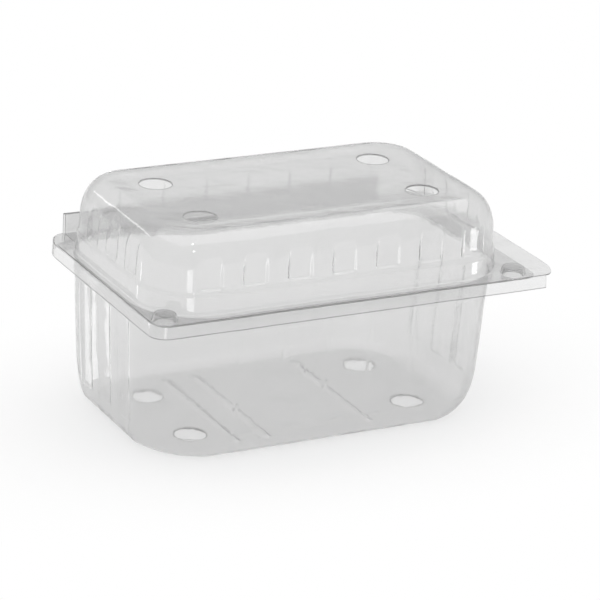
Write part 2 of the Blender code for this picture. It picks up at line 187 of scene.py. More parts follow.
class PunnetLid(bpy.types.PropertyGroup):
    """Sizes of the lid."""

    flange_top: length("Flange height", "Height of the top of the lid's flange", 0.0656)
    corner: length("Corner radius", "Radius of the dome's corners at the flange", 0.0235)
    shoulder_across: length("Shoulder across", "Width of the rounded shoulder", 0.0108)
    shoulder_drop: length("Shoulder drop", "Height of the rounded shoulder", 0.0158)
    panel_sink: length("Panel sink", "How far the top panel lies below the crest", 0.0010)
    panel_run: length("Panel run", "Width of the soft fall from the crest to the panel", 0.0082)
    flute_depth: length("Flute depth", "How deep the flutes are pressed into the walls", 0.0012)
    band_rise: length("Band", "Height of the plain band above the flange", 0.0075)
    skirt_drop: length("Skirt", "Depth of the skirt below the flange", 0.0058)


class PunnetTray(bpy.types.PropertyGroup):
    """Sizes of the tray."""

    flange_height: length("Flange height", "Height of the underside of the tray's flange", 0.0645)
    corner: length("Corner radius", "Radius of the tray's corners at the flange", 0.0290)
    flute_depth: length("Flute depth", "How deep the flutes are pressed into the walls", 0.00088)
    foot: length("Foot radius", "Radius between the walls and the floor", 0.0084)
    corner_foot: length("Corner foot", "Height of the rounding at the foot of the corners", 0.0220)
    bead_rise: length("Bead rise", "Height of the beads across the floor", 0.0010)


class PunnetStage(bpy.types.PropertyGroup):
    """The camera and the colour of the floor."""

    azimuth: bpy.props.FloatProperty(
        name="Azimuth", description="Camera's direction", default=math.radians(-28.967), subtype="ANGLE"
    )
    elevation: bpy.props.FloatProperty(
        name="Elevation", description="Camera's height", default=math.radians(21.07), subtype="ANGLE"
    )
    roll: bpy.props.FloatProperty(
        name="Roll", description="Camera's tilt to one side", default=math.radians(3.516), subtype="ANGLE"
    )
    distance: length("Distance", "Distance of the camera from its target", 1.2729)
    focal: bpy.props.FloatProperty(name="Lens", description="Focal length in mm", default=181.07)
    floor_colour: bpy.props.FloatVectorProperty(
        name="Floor", description="Colour of the floor", default=(0.90, 0.90, 0.90), size=3, subtype="COLOR"
    )


# ---------------------------------------------------------------- modelling by hand, in edit mode


def start_clean():
    """Leaves edit mode with nothing selected."""
    if bpy.context.object and bpy.context.object.mode == "EDIT":
        bpy.ops.object.mode_set(mode="OBJECT")
    bpy.ops.object.select_all(action="DESELECT")


def pick(kind, test):
    """Selects the vertices, edges or faces of the edited mesh that pass the test, and no others."""
    bpy.ops.mesh.select_all(action="DESELECT")
    bpy.ops.mesh.select_mode(type=kind)
    mesh = bmesh.from_edit_mesh(bpy.context.object.data)
    items = {"VERT": mesh.verts, "EDGE": mesh.edges, "FACE": mesh.faces}[kind]
    found = [item for item in items if test(item)]
    for item in found:
        item.select_set(True)
    mesh.select_flush_mode()
    bmesh.update_edit_mesh(bpy.context.object.data)
    if not found:
        raise RuntimeError(f"nothing to select on {bpy.context.object.name}")


def middle(edge):
    """Middle of an edge."""
    return (edge.verts[0].co + edge.verts[1].co) / 2


def add_plate(name, low, high):
    """Adds a flat plate between two corners of equal height, and leaves it selected in edit mode."""
    start_clean()
    bpy.ops.mesh.primitive_plane_add(size=1)
    plate = bpy.context.object
    plate.name = name
    plate.data.name = name
    bpy.ops.object.mode_set(mode="EDIT")
    bpy.ops.mesh.select_all(action="SELECT")
    size = high - low
    bpy.ops.transform.resize(value=(size.x, size.y, 1), center_override=(0, 0, 0))
    bpy.ops.transform.translate(value=(low + high) / 2)
    return plate


def round_corner(place, radius, depth=None):
    """Rounds the corner of the edited plate that lies at place. depth is the radius along Y if it differs."""
    pick("VERT", lambda vertex: (vertex.co.xy - place.xy).length < ON_PLACE)
    bpy.ops.mesh.bevel(offset=radius, segments=ROUND_SEGMENTS, profile=0.5, affect="VERTICES")
    if depth:
        reach = radius + ON_PLACE
        pick("VERT", lambda vertex: max(abs(part) for part in vertex.co.xy - place.xy) < reach)
        bpy.ops.transform.resize(value=(1, depth / radius, 1), center_override=place)


def cut_across(axis, places):
    """Cuts everything in the edited mesh at these places along X (axis 0) or Y (axis 1)."""
    normal = Vector((0, 0, 0))
    normal[axis] = 1
    for place in places:
        bpy.ops.mesh.select_all(action="SELECT")
        bpy.ops.mesh.bisect(plane_co=normal * place, plane_no=normal, threshold=ON_PLACE)


def draw_plate(profile):
    """Draws the whole edited plate up or down, one inset ring at a time, along (height, inset) points."""
    bpy.ops.mesh.select_all(action="SELECT")
    for (height, inset), (next_height, next_inset) in zip(profile, profile[1:]):
        bpy.ops.mesh.inset(thickness=max(0.0, next_inset - inset), depth=next_height - height)


def cut_level(height, axis, places):
    """Cuts the flat faces at one height at these places along X (axis 0) or Y (axis 1)."""
    normal = Vector((0, 0, 0))
    normal[axis] = 1
    for place in places:
        pick("FACE", lambda face: all(abs(vertex.co.z - height) < ON_PLACE for vertex in face.verts))
        bpy.ops.mesh.bisect(plane_co=normal * place, plane_no=normal, threshold=ON_PLACE)


def extrude_path(steps, centre=None, reach=None):
    """Extrudes the selected edges along steps of (outwards or a shift along Y, up).

    With a centre and the reach of the outline from it, the steps go outwards all round. Without,
    they go along +Y.
    """
    for out, up in steps:
        if centre is None:
            bpy.ops.mesh.extrude_edges_move(TRANSFORM_OT_translate={"value": (0, out, up)})
        else:
            bpy.ops.mesh.extrude_edges_move(TRANSFORM_OT_translate={"value": (0, 0, up)})
            wider = (1 + out / reach[0], 1 + out / reach[1], 1)
            bpy.ops.transform.resize(value=wider, center_override=centre)


def add_turned(centre, segments, profile, capped):
    """Adds a round form to the edited mesh: a circle that follows (radius, height above centre) points."""
    first = profile[0][0]
    bpy.ops.mesh.select_all(action="DESELECT")
    bpy.ops.mesh.select_mode(type="EDGE")
    bpy.ops.mesh.primitive_circle_add(vertices=segments, radius=first, location=centre)
    for (radius, height), (next_radius, next_height) in zip(profile, profile[1:]):
        bpy.ops.mesh.extrude_edges_move(TRANSFORM_OT_translate={"value": (0, 0, next_height - height)})
        ratio = next_radius / radius
        bpy.ops.transform.resize(value=(ratio, ratio, 1), center_override=centre)
    if capped:
        bpy.ops.mesh.edge_face_add()


def fill_level(height, inside):
    """Fills the flat area between the open edges at one height that pass the inside test."""

    def is_open(edge):
        flat = all(abs(vertex.co.z - height) < ON_PLACE for vertex in edge.verts)
        return flat and len(edge.link_faces) < 2 and inside(middle(edge))

    pick("EDGE", is_open)
    bpy.ops.transform.resize(value=(1, 1, 0), center_override=(0, 0, height))
    bpy.ops.mesh.fill(use_beauty=True)


def move_by_weight(shell, name, weight, distance):
    """Moves the shell's surface along its normals by distance times weight(vertex place)."""
    group = shell.vertex_groups.new(name=name)
    for vertex in shell.data.vertices:
        share = weight(vertex.co)
        if share > 0:
            group.add([vertex.index], share, "REPLACE")
    push = shell.modifiers.new(name, "DISPLACE")
    push.direction = "NORMAL"
    push.mid_level = 0
    push.strength = distance
    push.vertex_group = name
    bpy.ops.object.modifier_apply(modifier=name)
    shell.vertex_groups.clear()


# ---------------------------------------------------------------- shapes that both shells share


def ease(share):
    """Smooth rise from 0 to 1."""
    share = max(0.0, min(1.0, share))
    return share * share * (3 - 2 * share)


def step_between(start, end, count):
    """Points of a smooth step between two (height, inset) points, without the first."""
    points = []
    for index in range(1, count + 1):
        share = index / count
        height = start[0] + (end[0] - start[0]) * ease(share)
        points.append((height, start[1] + (end[1] - start[1]) * share))
    return points


class FluteRow:
    """The flutes of one pair of opposite walls: where they lie and how their flanks run."""

    def __init__(self, pitch, count, half, run, shift=0.0):
        self.middles = [shift + pitch * index for index in range(-count, count + 1)]
        self.pitch = pitch
        self.half = half
        self.run = run

    def cuts(self, straight):
        """Places where the straight part of the wall is cut, so that the flanks come out round."""
        places = []
        for place in self.middles:
            places += [place, place + self.pitch / 2, place - self.pitch / 2]
            for side in (-1, 1):
                places += [place + side * (self.half + self.run * share) for share in (-1, -0.5, 0, 0.5, 1)]
        return sorted({round(place, 6) for place in places if abs(place) < straight - FLAT_MARGIN})

    def share(self, place):
        """Share of the flute's depth at a place along the wall."""
        nearest = min(abs(place - each) for each in self.middles)
        return ease((self.half + self.run - nearest) / (2 * self.run))


def press_flutes(shell, sides, ends, core, corner, rise, depth):
    """Presses both rows of flutes into the walls. rise(height) is the share of the depth at a height.

    core holds the half length and half width between the middles of the corner arcs.
    """

    def weight(place):
        away = Vector((abs(place.x) - core.x, abs(place.y) - core.y))
        turn = math.atan2(max(0.0, away.x), max(0.0, away.y))
        if max(away) <= 0:
            return 0.0
        if turn < math.pi / 4:
            along = math.copysign(min(abs(place.x), core.x) + corner * turn, place.x)
            return rise(place.z) * sides.share(along)
        along = math.copysign(min(abs(place.y), core.y) + corner * (math.pi / 2 - turn), place.y)
        return rise(place.z) * ends.share(along)

    move_by_weight(shell, "flutes", weight, -depth)


def vent_places(walls):
    """Middles of the four vents."""
    return [Vector((x * walls.vent_across, y * walls.vent_deep, 0)) for x in (-1, 1) for y in (-1, 1)]


def cut_vents(walls, height, lip):
    """Cuts the four vents through the flat at one height, each with a rounded lip that turns by lip."""
    radius = walls.vent_radius
    window = radius + VENT_WINDOW
    way = math.copysign(1.0, lip)
    profile = [
        (radius + 0.0004, 0.0),
        (radius + 0.0002, way * 0.00006),
        (radius + 0.00005, way * 0.0002),
        (radius, lip),
    ]
    for axis, distance in ((0, walls.vent_across), (1, walls.vent_deep)):
        cut_level(height, axis, [end * distance + side * window for end in (-1, 1) for side in (-1, 1)])
    for place in vent_places(walls):
        centre = Vector((place.x, place.y, height))

        def in_window(point):
            return max(abs(point.x - centre.x), abs(point.y - centre.y)) < window + ON_PLACE

        pick("FACE", lambda face: abs(face.normal.z) > 0.99 and in_window(face.calc_center_median()))
        bpy.ops.mesh.delete(type="FACE")
        add_turned(centre, VENT_SEGMENTS, profile, capped=False)
        fill_level(height, in_window)


def finish_shell(shell, sheet, upward, painted_edge_shade):
    """Gives a drawn surface the thickness of the sheet and its ripple, and shades it smooth.

    Its last argument gives, for a place, how much painted shade darkens the sheet's colour there, from 0 to
    1; it draws dark lines along cut edges.
    """
    bpy.ops.mesh.select_all(action="SELECT")
    bpy.ops.mesh.remove_doubles(threshold=ON_PLACE)
    bpy.ops.mesh.normals_make_consistent(inside=False)
    mesh = bmesh.from_edit_mesh(shell.data)
    flat = max(mesh.faces, key=lambda face: face.calc_area() * abs(face.normal.z))
    if (flat.normal.z > 0) != upward:
        bpy.ops.mesh.flip_normals()
    bpy.ops.object.mode_set(mode="OBJECT")
    # Painted shade: these values, read by the sheet's material, darken its colour along the cut edges.
    mark = shell.data.attributes.new("painted_edge_shade", "FLOAT", "POINT")
    for vertex in shell.data.vertices:
        mark.data[vertex.index].value = painted_edge_shade(vertex.co)

    wall = shell.modifiers.new("sheet", "SOLIDIFY")
    wall.thickness = sheet.thickness
    wall.offset = -1
    wall.use_even_offset = True
    wall.use_rim = True
    # The rim faces, where the sheet is cut, get the second material, whose dark colour is painted shade.
    wall.material_offset_rim = 1
    shell.data.materials.append(clear_sheet())
    shell.data.materials.append(shaded_cut_edge())
    bpy.ops.object.modifier_apply(modifier="sheet")

    clouds = bpy.data.textures.new(f"{shell.name}_ripple", "CLOUDS")
    clouds.cloud_type = "COLOR"
    clouds.noise_scale = sheet.ripple_size
    clouds.noise_depth = 1
    ripple = shell.modifiers.new("ripple", "DISPLACE")
    ripple.texture = clouds
    ripple.texture_coords = "LOCAL"
    ripple.direction = "RGB_TO_XYZ"
    ripple.strength = sheet.ripple
    bpy.ops.object.modifier_apply(modifier="ripple")
    bpy.ops.object.shade_smooth_by_angle(angle=math.radians(50))
    even = shell.modifiers.new("even", "WEIGHTED_NORMAL")
    even.keep_sharp = True
    bpy.ops.object.modifier_apply(modifier="even")


# ---------------------------------------------------------------- the shells


class PUNNET_OT_lid(bpy.types.Operator):
    """Forms the lid: dome, panel with vents, flange with sockets, skirt, tab and hinge leaf"""

    bl_idname = "punnet.lid"
    bl_label = "Form the lid"

    def execute(self, context):
        scene = context.scene
        sheet, walls, lid = scene.punnet_sheet, scene.punnet_walls, scene.punnet_lid
        base = lid.flange_top
        fillet = LID_FILLET
        half_length = walls.mouth_length / 2 - LID_IN_LENGTH + fillet
        half_width = walls.mouth_width / 2 - LID_IN_WIDTH + fillet
        low = Vector((-half_length, -half_width, base))
        shell = add_plate("lid_shell", low, Vector((half_length, half_width, base)))
        bpy.ops.mesh.bevel(
            offset=lid.corner + fillet, segments=CORNER_SEGMENTS, profile=0.5, affect="VERTICES"
        )
        core = Vector((half_length - fillet - lid.corner, half_width - fillet - lid.corner))
        sides = FluteRow(walls.side_pitch, 3, LID_FLUTE_HALF, LID_FLUTE_RUN, shift=LID_FLUTE_SHIFT)
        ends = FluteRow(walls.end_pitch, 1, walls.flute_half, LID_FLUTE_RUN)
        cut_across(0, sides.cuts(core.x))
        cut_across(1, ends.cuts(core.y))

        crest = LID_HIGH.z - LID_UNDER_BOX
        shoulder = crest - lid.shoulder_drop
        ledge = base + lid.band_rise
        profile = [(base + fillet * (1 - math.cos(turn)), fillet * math.sin(turn)) for turn in QUARTER_TURN]
        profile += [(height, fillet + walls.draft * (height - base)) for height in (base + BAND_RING, ledge)]
        profile += step_between(profile[-1], (ledge + LEDGE_RISE, profile[-1][1] + LEDGE_STEP), 6)

        def wall(height):
            return fillet + LEDGE_STEP + walls.draft * (height - base)

        flute_start = ledge + LEDGE_RISE + 0.0002
        flute_full = flute_start + 0.0014
        rows = [flute_start + (flute_full - flute_start) * share / 4 for share in range(5)]
        rows += [flute_full + (shoulder - flute_full) * share / 4 for share in (1, 2, 3)]
        profile += [(height, wall(height)) for height in rows]
        for index in range(SHOULDER_STEPS + 1):
            turn = math.pi / 2 * index / SHOULDER_STEPS
            inset = wall(shoulder) + lid.shoulder_across * (1 - math.cos(turn))
            profile.append((shoulder + lid.shoulder_drop * math.sin(turn), inset))
        crest_inset = profile[-1][1]
        for index in range(1, DISH_STEPS + 1):
            share = index / DISH_STEPS
            fall = lid.panel_sink * (ease(share) + share) / 2
            profile.append((crest - fall, crest_inset + lid.panel_run * share))
        draw_plate(profile)
        bpy.ops.object.mode_set(mode="OBJECT")

        def rise(height):
            if height < shoulder:
                return ease((height - flute_start) / (flute_full - flute_start))
            turn = math.asin(min(1.0, (height - shoulder) / lid.shoulder_drop))
            inset = lid.shoulder_across * (1 - math.cos(turn))
            return max(0.0, 1 - inset / lid.flute_depth)

        press_flutes(shell, sides, ends, core, lid.corner, rise, lid.flute_depth)
        bpy.ops.object.mode_set(mode="EDIT")
        cut_vents(walls, crest - lid.panel_sink, -VENT_LIP)
        self.add_flange(shell, walls, lid)
        lip_end = crest - lid.panel_sink - VENT_LIP
        skirt_end = base - lid.skirt_drop

        # Painted shade: a dark line along the cut bottom edge of the skirt, and a fainter one along the open
        # edge of each vent lip.
        def painted_edge_shade(place):
            if place.z < skirt_end + ON_PLACE * 2:
                return 0.9
            return 0.5 if abs(place.z - lip_end) < ON_PLACE else 0.0

        finish_shell(shell, sheet, True, painted_edge_shade)
        dress(shell, "lid")
        return {"FINISHED"}

    def add_flange(self, shell, walls, lid):
        """Adds the flange with its sockets, the skirt, the tab and the leaf of the hinge."""
        base = lid.flange_top
        left = -(walls.mouth_length / 2 + FLANGE_LEFT)
        right = LID_HIGH.x
        side = walls.mouth_width / 2 + FLANGE_SIDE
        skirt_end = 0.0771
        neck = right - 0.0077
        add_plate("flange", Vector((left, -side, base)), Vector((right, side, base)))
        round_corner(Vector((left, -side, base)), 0.0068)
        round_corner(Vector((left, side, base)), 0.0080, 0.0150)
        round_corner(Vector((right, -side, base)), 0.0070, 0.0140)
        round_corner(Vector((right, side, base)), 0.0070, 0.0140)
        cut_across(0, [-skirt_end, -LEAF_END, LEAF_END, skirt_end, neck])
        cut_across(0, [walls.side_pitch / 3 * index for index in range(-11, 12)])
        cut_across(1, [walls.end_pitch / 3 * index for index in range(-6, 7)])
        join_outline(shell)
        add_studs(walls, base, STUD_RADIUS)
        fill_level(base, lambda point: True)

        def on_outline(edge):
            point = middle(edge)
            inside = Vector((walls.mouth_length / 2 + 0.0010, walls.mouth_width / 2 + 0.0006))
            beyond = abs(point.x) > inside.x or abs(point.y) > inside.y
            return abs(point.z - base) < ON_PLACE and len(edge.link_faces) == 1 and beyond

        def on_skirt(edge):
            point = middle(edge)
            at_leaf = point.y > side - ON_PLACE and abs(point.x) < skirt_end - ON_PLACE
            return on_outline(edge) and point.x < neck and not at_leaf

        turns = ((0.38, 0.08), (0.33, 0.22), (0.21, 0.33), (0.08, 0.37))
        down = [(FOLD * out, -FOLD * fall) for out, fall in turns]
        down += [(0.00006, -(lid.skirt_drop - FOLD - EDGE_BAND) / 3)] * 3
        down += [(0.00002, -EDGE_BAND)]
        pick("EDGE", on_skirt)
        extrude_path(down, Vector((0, 0, base)), (-left, side))

        def on_leaf(edge):
            point = middle(edge)
            return on_outline(edge) and point.y > side - ON_PLACE and abs(point.x) < LEAF_END

        bend = 0.0010
        reach = HINGE.y - LEAF_GAP - side
        rise = TRAY_HIGH.z - base
        pick("EDGE", on_leaf)
        path = [(0, 0), (0.3, 0.1), (0.52, 0.3), (0.64, 0.6), (0.7, 1.2)]
        places = [(bend * out, bend * up) for out, up in path]
        places += [(bend * 0.75, rise * 0.5), (bend * 0.8, rise - bend * 0.8)]
        places += [(bend * 0.95, rise - bend * 0.35), (bend * 1.2, rise - bend * 0.08), (reach, rise)]
        extrude_path(steps_of(places))


def steps_of(places):
    """Turns places along a path into the steps between them."""
    return [(b[0] - a[0], b[1] - a[1]) for a, b in zip(places, places[1:])]


def join_outline(shell):
    """Keeps only the outline of the edited plate, joins it to the shell and goes on editing the shell."""
    bpy.ops.mesh.select_all(action="SELECT")
    bpy.ops.mesh.dissolve_faces()
    bpy.ops.mesh.delete(type="ONLY_FACE")
    outline = bpy.context.object
    start_clean()
    outline.select_set(True)
    shell.select_set(True)
    bpy.context.view_layer.objects.active = shell
    bpy.ops.object.join()
    bpy.ops.object.mode_set(mode="EDIT")


def stud_places(walls):
    """Middles of the snap studs at the front corners of the flange."""
    front = -(walls.mouth_width / 2 + FLANGE_SIDE) + STUD_INSET
    left = -(walls.mouth_length / 2 + FLANGE_LEFT) + STUD_INSET
    return [Vector((left, front, 0)), Vector((walls.mouth_length / 2 - STUD_RIGHT, front, 0))]


def add_studs(walls, height, radius):
    """Adds both hollow studs at one height, each with a small round at its foot and its edge."""
    top = radius - STUD_TAPER
    profile = [
        (radius, 0.0),
        (radius - 0.00025, 0.00008),
        (radius - 0.0004, 0.0003),
        (top + 0.00015, STUD_RISE - 0.0006),
        (top - 0.00005, STUD_RISE - 0.0002),
        (top - 0.0004, STUD_RISE),
    ]
    for place in stud_places(walls):
        add_turned(Vector((place.x, place.y, height)), STUD_SEGMENTS, profile, capped=True)


class PUNNET_OT_tray(bpy.types.Operator):
    """Forms the tray: walls, floor with vents and beads, flange with studs, gutter and hinge leaf"""

    bl_idname = "punnet.tray"
    bl_label = "Form the tray"

    def execute(self, context):
        scene = context.scene
        sheet, walls, tray = scene.punnet_sheet, scene.punnet_walls, scene.punnet_tray
        height = tray.flange_height
        lip = TRAY_LIP
        half_length = walls.mouth_length / 2 + lip
        half_width = walls.mouth_width / 2 + lip
        low = Vector((-half_length, -half_width, height))
        shell = add_plate("tray_shell", low, Vector((half_length, half_width, height)))
        bpy.ops.mesh.bevel(
            offset=tray.corner + lip, segments=CORNER_SEGMENTS, profile=0.5, affect="VERTICES"
        )
        core = Vector((half_length - tray.corner - lip, half_width - tray.corner - lip))
        sides = FluteRow(walls.side_pitch, 3, walls.flute_half, TRAY_FLUTE_RUN)
        ends = FluteRow(walls.end_pitch, 1, walls.flute_half, TRAY_FLUTE_RUN)
        cut_across(0, sides.cuts(core.x))
        cut_across(1, ends.cuts(core.y))

        def wall(level):
            return lip + walls.draft * (height - level)

        def foot_inset(level, rise):
            left = max(0.0, 1 - level / rise)
            return tray.foot * (1 - math.sqrt(1 - left**2))

        flute_head = 0.0580
        flute_foot = 0.0105
        flute_fade = 0.0025
        profile = [(height - lip * (1 - math.cos(turn)), lip * math.sin(turn)) for turn in QUARTER_TURN]
        rows = [flute_head + 0.002]
        rows += [flute_head - flute_fade * index / 4 for index in range(5)]
        tall = flute_head - flute_foot
        rows += [flute_head - tall * share for share in (0.2, 0.34, 0.48, 0.6, 0.7, 0.78, 0.85, 0.9)]
        rows += [flute_foot + flute_fade * (4 - index) / 4 for index in range(1, 5)]
        profile += [(level, wall(level)) for level in rows]
        for index in range(1, FOOT_STEPS + 1):
            level = tray.foot * (1 - math.sin(math.pi / 2 * index / FOOT_STEPS))
            profile.append((level, wall(level) + foot_inset(level, tray.foot)))
        profile.append((0.0, profile[-1][1] + 0.0010))
        draw_plate(profile)
        bpy.ops.mesh.select_all(action="SELECT")
        bpy.ops.mesh.flip_normals()
        bpy.ops.object.mode_set(mode="OBJECT")

        def rise(level):
            return ease((flute_head - level) / flute_fade) * ease((level - flute_foot) / flute_fade)

        press_flutes(shell, sides, ends, core, tray.corner, rise, tray.flute_depth)
        deepest = tray.foot * 0.3

        def tuck(place):
            away = Vector((abs(place.x) - core.x, abs(place.y) - core.y))
            if min(away) <= 0 or place.z < ON_PLACE:
                return 0.0
            inset = foot_inset(place.z, tray.corner_foot) - foot_inset(place.z, tray.foot)
            return 2 * away.x * away.y / away.length_squared * inset / deepest

        move_by_weight(shell, "corner_foot", tuck, -deepest)
        self.raise_beads(shell, walls, tray)
        bpy.ops.object.mode_set(mode="EDIT")
        bpy.ops.mesh.select_all(action="SELECT")
        bpy.ops.transform.translate(value=(TRAY_SHIFT, 0, 0))
        cut_vents(walls, 0.0, VENT_LIP)
        self.add_flange(shell, sheet, walls, tray)

        # Painted shade: a dark line along the open edge of each vent lip.
        def painted_edge_shade(place):
            inside = abs(place.x) < walls.vent_across + 0.01 and abs(place.y) < walls.vent_deep + 0.01
            return 0.5 if inside and abs(place.z - VENT_LIP) < ON_PLACE else 0.0

        finish_shell(shell, sheet, False, painted_edge_shade)
        dress(shell, "tray")
        return {"FINISHED"}

    def raise_beads(self, shell, walls, tray):
        """Raises the beads that run across the floor."""
        half = 0.0024
        end = walls.mouth_width / 2 - 0.0170
        beads = (-0.0350, -0.0210, 0.0270)
        bpy.ops.object.mode_set(mode="EDIT")
        across = [bead + half * share for bead in beads for share in (-1, -0.6, -0.3, 0, 0.3, 0.6, 1)]
        cut_level(0.0, 0, across)
        cut_level(0.0, 1, [side * (end - half * share) for side in (-1, 1) for share in (0, 0.4, 0.7, 1)])
        bpy.ops.object.mode_set(mode="OBJECT")

        def on_bead(place):
            if abs(place.z) > ON_PLACE:
                return 0.0
            beyond = max(0.0, abs(place.y) - (end - half))
            nearest = min(math.hypot(place.x - bead, beyond) for bead in beads)
            return ease(1 - nearest / half)

        move_by_weight(shell, "beads", on_bead, -tray.bead_rise)

    def add_flange(self, shell, sheet, walls, tray):
        """Adds the flange with its studs, and the gutter and leaf at the back."""
        base = tray.flange_height
        left = TRAY_LOW.x
        right = TRAY_HIGH.x
        side = -TRAY_LOW.y
        relief = side - 0.0086
        add_plate("flange", Vector((left, -side, base)), Vector((right, side, base)))
        round_corner(Vector((left, -side, base)), 0.0060)
        round_corner(Vector((right, -side, base)), 0.0050)
        round_corner(Vector((left, side, base)), 0.0025)
        round_corner(Vector((right, side, base)), 0.0025)
        cut_across(0, [-LEAF_END - 0.0004, -LEAF_END, LEAF_END, LEAF_END + 0.0004])
        cut_across(0, [walls.side_pitch / 3 * index for index in range(-11, 12)])
        pick("VERT", lambda vertex: abs(vertex.co.x) > LEAF_END + 0.0003 and vertex.co.y > 0)
        bpy.ops.transform.translate(value=(0, relief - side, 0))
        join_outline(shell)
        add_studs(walls, base, STUD_RADIUS - sheet.thickness * 2 - STUD_CLEARANCE)
        fill_level(base, lambda point: True)

        def on_leaf(edge):
            point = middle(edge)
            at_back = point.y > side - ON_PLACE and abs(point.x) < LEAF_END
            return at_back and abs(point.z - base) < ON_PLACE and len(edge.link_faces) == 1

        outer = TRAY_HIGH.y - side
        inner = outer - 0.0024
        drop = -0.0045
        top = TRAY_HIGH.z - base
        bend = 0.0005
        places = [(0, 0), (inner - bend, 0), (inner - bend * 0.3, -bend * 0.3), (inner, -bend)]
        places += [(inner, drop + bend), (inner + bend * 0.3, drop + bend * 0.3), (inner + bend, drop)]
        places += [(outer - bend, drop), (outer - bend * 0.3, drop + bend * 0.3), (outer, drop + bend)]
        places += [(outer, (top + drop) / 2), (outer, top - bend * 2), (outer - bend * 0.25, top - bend)]
        places += [(outer - bend, top - bend * 0.25), (outer - bend * 2, top)]
        pick("EDGE", on_leaf)
        extrude_path(steps_of(places))


class PUNNET_OT_fold(bpy.types.Operator):
    """Forms the fold: the thin strip of sheet between the two leaves of the hinge"""

    bl_idname = "punnet.fold"
    bl_label = "Form the fold"

    def execute(self, context):
        half = LEAF_END - STRIP_IN
        height = TRAY_HIGH.z - STRIP_UNDER
        low = Vector((-half, HINGE.y - LEAF_GAP, height))
        strip = add_plate("hinge_fold", low, Vector((half, HINGE.y + LEAF_GAP, height)))
        cut_across(1, [HINGE.y + LEAF_GAP * share / 3 for share in (-2, -1, 0, 1, 2)])
        cut_across(0, [half * share / 8 for share in range(-7, 8)])
        bpy.ops.object.mode_set(mode="OBJECT")
        wall = strip.modifiers.new("sheet", "SOLIDIFY")
        wall.thickness = STRIP_THICKNESS
        wall.offset = -1
        bpy.ops.object.modifier_apply(modifier="sheet")
        strip.data.materials.append(clear_sheet())
        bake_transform(strip)
        return {"FINISHED"}


# ---------------------------------------------------------------- finish


def make_sheet(name, colour, roughness, shade):
    """A clear plastic with a slight haze. shade is how much of a lamp's light it lets through.

    Its colour carries painted shade: it is darker along its marked cut edges, and where it is seen at a
    slant.
    """
    made = bpy.data.materials.get(name)
    if made:
        return made
    material = bpy.data.materials.new(name)
    material.use_nodes = True
    nodes, links = material.node_tree.nodes, material.node_tree.links
    surface = nodes["Principled BSDF"]
    # Painted shade along cut edges: the values that the shells store for each point.
    edge_shade_input = nodes.new("ShaderNodeAttribute")
    edge_shade_input.attribute_name = "painted_edge_shade"
    # Painted shade: the sheet's own colour is mixed towards a darker grey by the amount worked out below.
    painted_shade_mix = nodes.new("ShaderNodeMix")
    painted_shade_mix.data_type = "RGBA"
    painted_shade_mix.inputs["A"].default_value = (colour, colour, colour, 1)
    painted_shade_mix.inputs["B"].default_value = (colour * PAINTED_SHADE_DARKEST, colour * PAINTED_SHADE_DARKEST, colour * PAINTED_SHADE_DARKEST, 1)
    # Painted shade at a slant: Layer Weight darkens the colour where the sheet is seen edge-on.
    slant = nodes.new("ShaderNodeLayerWeight")
    slant.inputs["Blend"].default_value = 0.5
    steep = nodes.new("ShaderNodeMath")
    steep.operation = "POWER"
    steep.inputs[1].default_value = SLANT_SHADE_POWER
    links.new(slant.outputs["Facing"], steep.inputs[0])
    painted_shade_amount = nodes.new("ShaderNodeMath")
    painted_shade_amount.operation = "MULTIPLY_ADD"
    painted_shade_amount.use_clamp = True
    painted_shade_amount.inputs[1].default_value = SLANT_SHADE_SHARE
    links.new(steep.outputs["Value"], painted_shade_amount.inputs[0])
    links.new(edge_shade_input.outputs["Fac"], painted_shade_amount.inputs[2])
    links.new(painted_shade_amount.outputs["Value"], painted_shade_mix.inputs["Factor"])
    links.new(painted_shade_mix.outputs["Result"], surface.inputs["Base Color"])
    surface.inputs["Roughness"].default_value = roughness
    surface.inputs["IOR"].default_value = SHEET_INDEX
    surface.inputs["Transmission Weight"].default_value = SHEET_CLEARNESS
    rays = nodes.new("ShaderNodeLightPath")
    through = nodes.new("ShaderNodeBsdfTransparent")
    through.inputs["Color"].default_value = (shade, shade, shade, 1)
    blend = nodes.new("ShaderNodeMixShader")
    links.new(rays.outputs["Is Shadow Ray"], blend.inputs["Fac"])
    links.new(surface.outputs["BSDF"], blend.inputs[1])
    links.new(through.outputs["BSDF"], blend.inputs[2])
    links.new(blend.outputs["Shader"], nodes["Material Output"].inputs["Surface"])
    finish = nodes.new("ShaderNodeGroup")
    finish.node_tree = formed_finish()
    links.new(finish.outputs["Normal"], surface.inputs["Normal"])
    return material


def formed_finish():
    """What forming leaves on the sheet, made once: long soft waves and fine drag marks, as a normal."""
    made = bpy.data.node_groups.get("formed_finish")
    if made:
        return made
    group = bpy.data.node_groups.new("formed_finish", "ShaderNodeTree")
    group.interface.new_socket("Normal", in_out="OUTPUT", socket_type="NodeSocketVector")
    nodes, links = group.nodes, group.links
    place = nodes.new("ShaderNodeTexCoord")
    waves = nodes.new("ShaderNodeTexNoise")
    waves.inputs["Scale"].default_value = 45
    waves.inputs["Detail"].default_value = 2
    grain = nodes.new("ShaderNodeTexNoise")
    grain.inputs["Scale"].default_value = 420
    grain.inputs["Detail"].default_value = 3
    links.new(place.outputs["Object"], waves.inputs["Vector"])
    links.new(place.outputs["Object"], grain.inputs["Vector"])
    wide = nodes.new("ShaderNodeBump")
    wide.inputs["Strength"].default_value = 1
    wide.inputs["Distance"].default_value = 0.0005
    links.new(waves.outputs["Fac"], wide.inputs["Height"])
    fine = nodes.new("ShaderNodeBump")
    fine.inputs["Strength"].default_value = 1
    fine.inputs["Distance"].default_value = 0.00004
    links.new(grain.outputs["Fac"], fine.inputs["Height"])
    links.new(wide.outputs["Normal"], fine.inputs["Normal"])
    links.new(fine.outputs["Normal"], nodes.new("NodeGroupOutput").inputs["Normal"])
    return group


